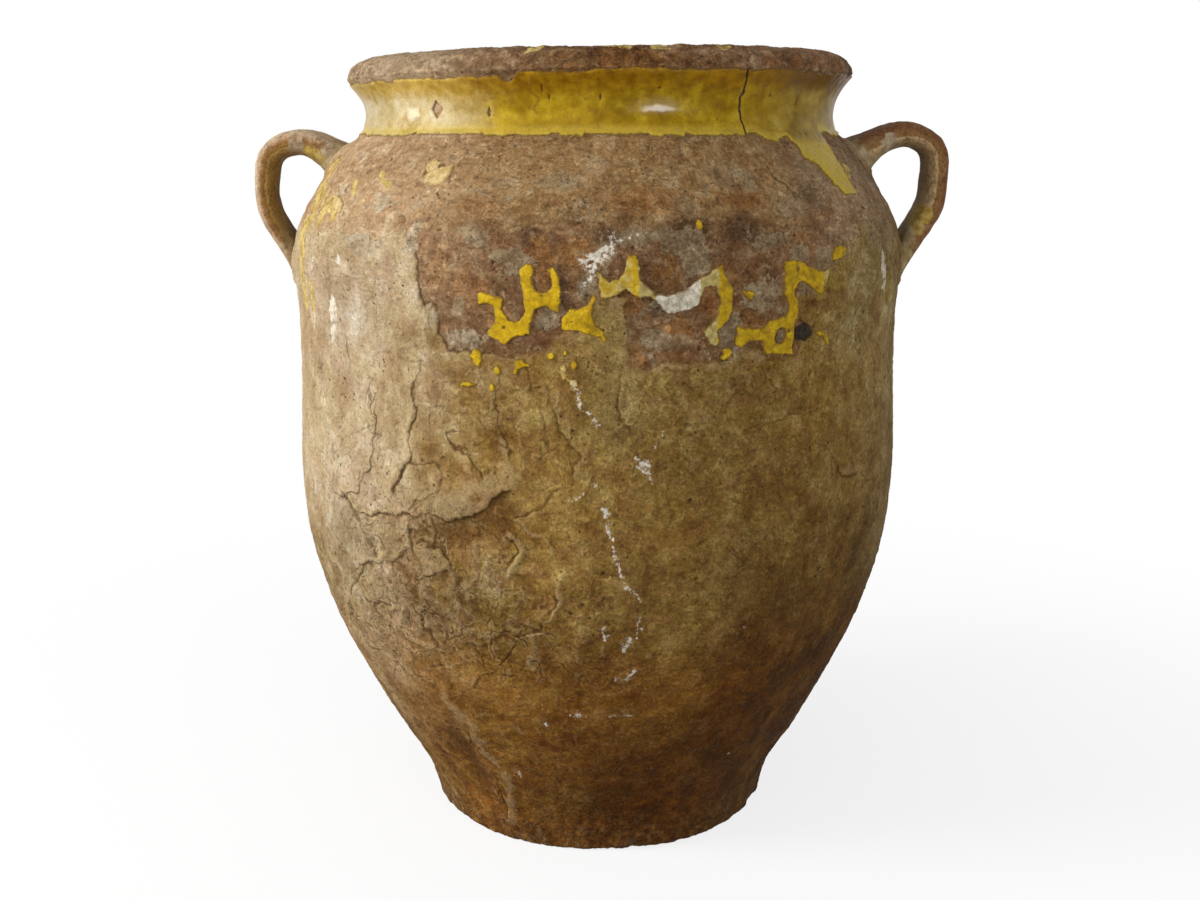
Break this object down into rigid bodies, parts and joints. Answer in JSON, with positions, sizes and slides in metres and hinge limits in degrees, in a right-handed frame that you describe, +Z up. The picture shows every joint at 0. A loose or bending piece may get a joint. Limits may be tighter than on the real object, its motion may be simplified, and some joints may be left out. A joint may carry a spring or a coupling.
{
  "type": "confit pot",
  "caption": "Tall two-handled earthenware confit pot with a full belly, rolled rim, glazed inside and neck, and worn glaze flakes on the front.",
  "frame": {"origin": "middle of the resting face, on the turning axis", "axes": "+Z up along the turning axis, X through the two handles, -Y towards the glazed front"},
  "size_m": [0.2989, 0.2627, 0.3311],
  "materials": {
    "pot_clay": "matte, weathered, tan over red clay",
    "handle_clay": "matte, worn red clay",
    "inner_glaze": "satin honey glaze",
    "neck_glaze": "gloss mustard yellow glaze",
    "glaze_flakes": "satin mustard yellow glaze"
  },
  "bodies": {
    "root": {"thrown_pot": "pot_clay", "left_handle": "handle_clay", "right_handle": "handle_clay", "inner_glaze": "inner_glaze", "neck_glaze": "neck_glaze", "flake_tall_left": "glaze_flakes", "flake_small_middle": "glaze_flakes", "flake_chain_middle": "glaze_flakes", "flake_hook_right": "glaze_flakes", "flake_spot_right": "glaze_flakes", "flake_sliver_right": "glaze_flakes", "flake_spot_middle": "glaze_flakes", "flake_tail_right": "glaze_flakes", "flake_spot_left": "glaze_flakes", "flake_wedge_left": "glaze_flakes", "flake_low_left": "glaze_flakes", "flake_shoulder_left": "glaze_flakes", "flake_drip_left": "glaze_flakes"}
  },
  "joints": []
}
